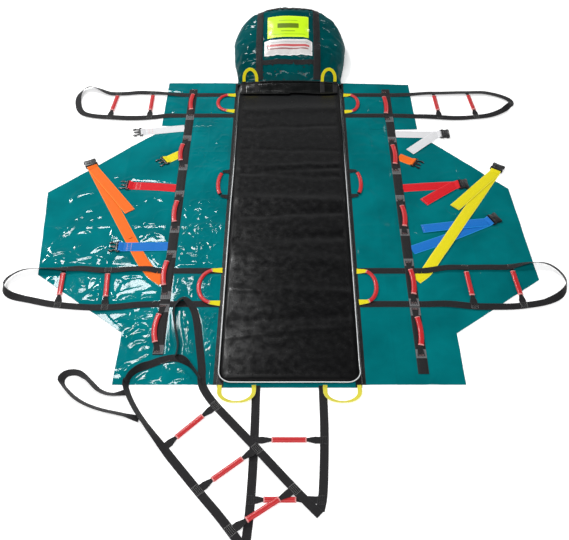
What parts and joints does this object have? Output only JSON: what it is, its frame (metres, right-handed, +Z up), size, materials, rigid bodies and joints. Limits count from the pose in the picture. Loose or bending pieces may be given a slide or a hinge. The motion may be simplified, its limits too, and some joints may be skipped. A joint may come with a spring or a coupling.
{
  "type": "rescue stretcher",
  "caption": "Soft roll-up rescue stretcher laid open: padded mattress on a coated sheet with fold-over wings, foot pocket, buckled belts, grab handles and webbing carry ladders.",
  "frame": {"origin": "middle of the mattress on the floor, on the underside of the base sheet", "axes": "+Y along the mattress towards the foot pocket, +Z up, +X to the right seen from the near end"},
  "size_m": [2.2781, 2.7934, 0.2283],
  "materials": {
    "coated_sheet": "glossy PVC-coated polyester",
    "black_pvc": "glossy PVC-coated nylon",
    "foam": "closed-cell foam",
    "piping": "satin pvc cord",
    "panel_lime": "satin pvc film",
    "panel_white": "satin pvc film",
    "sleeve_red": "satin tubular sleeve over webbing",
    "webbing_black": "woven polyester webbing",
    "webbing_yellow": "woven polyester webbing",
    "webbing_red": "woven polyester webbing",
    "webbing_orange": "woven polyester webbing",
    "webbing_blue": "woven polyester webbing",
    "webbing_white": "woven polyester webbing",
    "nylon_black": "moulded acetal"
  },
  "bodies": {
    "root": {"centre_sheet": "coated_sheet", "mattress_cover": "black_pvc", "mattress_foam": "foam", "mattress_piping": "piping", "foot_pocket": "coated_sheet", "pocket_harness": "webbing_black", "label_panel_upper": "panel_lime", "label_panel_lower": "panel_white", "drag_ladder_base": "webbing_black", "drag_ladder_folded": "webbing_black"},
    "left_wing": {"left_wing_sheet": "coated_sheet", "carry_harness_left": "webbing_black", "drag_ladder_loops": "webbing_black"},
    "right_wing": {"right_wing_sheet": "coated_sheet", "carry_harness_right": "webbing_black", "belt_right_blue": "webbing_blue", "buckle_right_blue": "nylon_black"},
    "carry_handle_left_1": {"carry_handle_left_1": "sleeve_red"},
    "carry_handle_left_2": {"carry_handle_left_2": "sleeve_red"},
    "carry_handle_left_3": {"carry_handle_left_3": "sleeve_red"},
    "carry_handle_left_4": {"carry_handle_left_4": "sleeve_red"},
    "carry_handle_left_5": {"carry_handle_left_5": "sleeve_red"},
    "side_handle_left_1": {"side_handle_left_1": "sleeve_red"},
    "side_handle_left_2": {"side_handle_left_2": "sleeve_red"},
    "side_handle_left_3": {"side_handle_left_3": "sleeve_red"},
    "ladder_left_upper": {"ladder_left_upper": "webbing_black"},
    "ladder_left_lower": {"ladder_left_lower": "webbing_black"},
    "belt_left_white": {"belt_left_white": "webbing_white", "buckle_left_white": "nylon_black"},
    "belt_left_yellow": {"belt_left_yellow": "webbing_yellow", "buckle_left_yellow": "nylon_black"},
    "belt_left_red": {"belt_left_red": "webbing_red", "buckle_left_red": "nylon_black"},
    "belt_left_blue": {"belt_left_blue": "webbing_blue", "buckle_left_blue": "nylon_black"},
    "belt_left_orange": {"belt_left_orange": "webbing_orange", "buckle_left_orange": "nylon_black"},
    "end_loop_left": {"end_loop_left": "webbing_yellow"},
    "pocket_loop_left": {"pocket_loop_left": "webbing_yellow"},
    "carry_handle_right_1": {"carry_handle_right_1": "sleeve_red"},
    "carry_handle_right_2": {"carry_handle_right_2": "sleeve_red"},
    "carry_handle_right_3": {"carry_handle_right_3": "sleeve_red"},
    "carry_handle_right_4": {"carry_handle_right_4": "sleeve_red"},
    "carry_handle_right_5": {"carry_handle_right_5": "sleeve_red"},
    "side_handle_right_1": {"side_handle_right_1": "sleeve_red"},
    "side_handle_right_2": {"side_handle_right_2": "sleeve_red"},
    "side_handle_right_3": {"side_handle_right_3": "sleeve_red"},
    "ladder_right_upper": {"ladder_right_upper": "webbing_black"},
    "ladder_right_lower": {"ladder_right_lower": "webbing_black"},
    "belt_right_white": {"belt_right_white": "webbing_white", "buckle_right_white": "nylon_black"},
    "belt_right_orange": {"belt_right_orange": "webbing_orange", "buckle_right_orange": "nylon_black"},
    "belt_right_red": {"belt_right_red": "webbing_red", "buckle_right_red": "nylon_black"},
    "belt_right_yellow": {"belt_right_yellow": "webbing_yellow", "buckle_right_yellow": "nylon_black"},
    "end_loop_right": {"end_loop_right": "webbing_yellow"},
    "pocket_loop_right": {"pocket_loop_right": "webbing_yellow"}
  },
  "joints": [
    {"name": "left_wing_fold", "type": "hinge", "parent": "root", "child": "left_wing", "pos_m": [-0.268, 0, 0.012], "axis": [0, 1, 0], "range_deg": [0, 95]},
    {"name": "right_wing_fold", "type": "hinge", "parent": "root", "child": "right_wing", "pos_m": [0.268, 0, 0.012], "axis": [0, 1, 0], "range_deg": [-95, 0]},
    {"name": "carry_handle_left_1_lift", "type": "hinge", "parent": "left_wing", "child": "carry_handle_left_1", "pos_m": [-0.475, 0.6375, 0.0041], "axis": [0, 1, 0], "range_deg": [0, 90]},
    {"name": "carry_handle_left_2_lift", "type": "hinge", "parent": "left_wing", "child": "carry_handle_left_2", "pos_m": [-0.4915, 0.2575, 0.0041], "axis": [0, 1, 0], "range_deg": [0, 90]},
    {"name": "carry_handle_left_3_lift", "type": "hinge", "parent": "left_wing", "child": "carry_handle_left_3", "pos_m": [-0.482, -0.13, 0.0041], "axis": [0, 1, 0], "range_deg": [0, 90]},
    {"name": "carry_handle_left_4_lift", "type": "hinge", "parent": "left_wing", "child": "carry_handle_left_4", "pos_m": [-0.49, -0.48, 0.0041], "axis": [0, 1, 0], "range_deg": [0, 90]},
    {"name": "carry_handle_left_5_lift", "type": "hinge", "parent": "left_wing", "child": "carry_handle_left_5", "pos_m": [-0.49, -0.7525, 0.0041], "axis": [0, 1, 0], "range_deg": [0, 90]},
    {"name": "side_handle_left_1_lift", "type": "hinge", "parent": "left_wing", "child": "side_handle_left_1", "pos_m": [-0.2805, 0.6325, 0.0041], "axis": [0, 1, 0], "range_deg": [0, 75]},
    {"name": "side_handle_left_2_lift", "type": "hinge", "parent": "left_wing", "child": "side_handle_left_2", "pos_m": [-0.2805, 0.045, 0.0041], "axis": [0, 1, 0], "range_deg": [0, 75]},
    {"name": "side_handle_left_3_lift", "type": "hinge", "parent": "left_wing", "child": "side_handle_left_3", "pos_m": [-0.2805, -0.5475, 0.0041], "axis": [0, 1, 0], "range_deg": [0, 75]},
    {"name": "ladder_left_upper_lift", "type": "hinge", "parent": "left_wing", "child": "ladder_left_upper", "pos_m": [-0.537, 0.6175, 0.0038], "axis": [0, 1, 0], "range_deg": [0, 80]},
    {"name": "ladder_left_lower_lift", "type": "hinge", "parent": "left_wing", "child": "ladder_left_lower", "pos_m": [-0.537, -0.55, 0.0038], "axis": [0, 1, 0], "range_deg": [0, 80]},
    {"name": "belt_left_white_lift", "type": "hinge", "parent": "left_wing", "child": "belt_left_white", "pos_m": [-0.5115, 0.438, 0.0018], "axis": [0, 1, 0], "range_deg": [0, 80]},
    {"name": "belt_left_yellow_lift", "type": "hinge", "parent": "left_wing", "child": "belt_left_yellow", "pos_m": [-0.537, 0.233, 0.0018], "axis": [0, 1, 0], "range_deg": [0, 80]},
    {"name": "belt_left_red_lift", "type": "hinge", "parent": "left_wing", "child": "belt_left_red", "pos_m": [-0.5115, 0.02, 0.0018], "axis": [0, 1, 0], "range_deg": [0, 80]},
    {"name": "belt_left_blue_lift", "type": "hinge", "parent": "left_wing", "child": "belt_left_blue", "pos_m": [-0.5115, -0.33, 0.0018], "axis": [0, 1, 0], "range_deg": [0, 80]},
    {"name": "belt_left_orange_lift", "type": "hinge", "parent": "left_wing", "child": "belt_left_orange", "pos_m": [-0.674, -0.285, 0.0018], "axis": [0.8833, 0.4689, 0], "range_deg": [0, 80]},
    {"name": "end_loop_left_lift", "type": "hinge", "parent": "root", "child": "end_loop_left", "pos_m": [-0.19, -1.0135, 0.0042], "axis": [-1, 0, 0], "range_deg": [0, 90]},
    {"name": "pocket_loop_left_drop", "type": "hinge", "parent": "root", "child": "pocket_loop_left", "pos_m": [-0.198, 0.741, 0.051], "axis": [1, 0, 0], "range_deg": [0, 85]},
    {"name": "carry_handle_right_1_lift", "type": "hinge", "parent": "right_wing", "child": "carry_handle_right_1", "pos_m": [0.463, 0.6125, 0.0041], "axis": [0, 1, 0], "range_deg": [-90, 0]},
    {"name": "carry_handle_right_2_lift", "type": "hinge", "parent": "right_wing", "child": "carry_handle_right_2", "pos_m": [0.474, 0.2425, 0.0041], "axis": [0, 1, 0], "range_deg": [-90, 0]},
    {"name": "carry_handle_right_3_lift", "type": "hinge", "parent": "right_wing", "child": "carry_handle_right_3", "pos_m": [0.479, -0.1575, 0.0041], "axis": [0, 1, 0], "range_deg": [-90, 0]},
    {"name": "carry_handle_right_4_lift", "type": "hinge", "parent": "right_wing", "child": "carry_handle_right_4", "pos_m": [0.478, -0.525, 0.0041], "axis": [0, 1, 0], "range_deg": [-90, 0]},
    {"name": "carry_handle_right_5_lift", "type": "hinge", "parent": "right_wing", "child": "carry_handle_right_5", "pos_m": [0.479, -0.7675, 0.0041], "axis": [0, 1, 0], "range_deg": [-90, 0]},
    {"name": "side_handle_right_1_lift", "type": "hinge", "parent": "right_wing", "child": "side_handle_right_1", "pos_m": [0.2805, 0.63, 0.0041], "axis": [0, 1, 0], "range_deg": [-75, 0]},
    {"name": "side_handle_right_2_lift", "type": "hinge", "parent": "right_wing", "child": "side_handle_right_2", "pos_m": [0.2805, 0.05, 0.0041], "axis": [0, 1, 0], "range_deg": [-75, 0]},
    {"name": "side_handle_right_3_lift", "type": "hinge", "parent": "right_wing", "child": "side_handle_right_3", "pos_m": [0.2805, -0.5475, 0.0041], "axis": [0, 1, 0], "range_deg": [-75, 0]},
    {"name": "ladder_right_upper_lift", "type": "hinge", "parent": "right_wing", "child": "ladder_right_upper", "pos_m": [0.537, 0.6175, 0.0038], "axis": [0, 1, 0], "range_deg": [-80, 0]},
    {"name": "ladder_right_lower_lift", "type": "hinge", "parent": "right_wing", "child": "ladder_right_lower", "pos_m": [0.537, -0.55, 0.0038], "axis": [0, 1, 0], "range_deg": [-80, 0]},
    {"name": "belt_right_white_lift", "type": "hinge", "parent": "right_wing", "child": "belt_right_white", "pos_m": [0.5115, 0.394, 0.0018], "axis": [0, 1, 0], "range_deg": [-80, 0]},
    {"name": "belt_right_orange_lift", "type": "hinge", "parent": "right_wing", "child": "belt_right_orange", "pos_m": [0.537, 0.214, 0.0018], "axis": [0, 1, 0], "range_deg": [-80, 0]},
    {"name": "belt_right_red_lift", "type": "hinge", "parent": "right_wing", "child": "belt_right_red", "pos_m": [0.5115, 0.02, 0.0018], "axis": [0, 1, 0], "range_deg": [-80, 0]},
    {"name": "belt_right_yellow_lift", "type": "hinge", "parent": "right_wing", "child": "belt_right_yellow", "pos_m": [0.597, -0.409, 0.0018], "axis": [-0.8427, 0.5384, 0], "range_deg": [-80, 0]},
    {"name": "end_loop_right_lift", "type": "hinge", "parent": "root", "child": "end_loop_right", "pos_m": [0.19, -1.0135, 0.0042], "axis": [-1, 0, 0], "range_deg": [0, 90]},
    {"name": "pocket_loop_right_drop", "type": "hinge", "parent": "root", "child": "pocket_loop_right", "pos_m": [0.198, 0.741, 0.051], "axis": [1, 0, 0], "range_deg": [0, 85]}
  ]
}
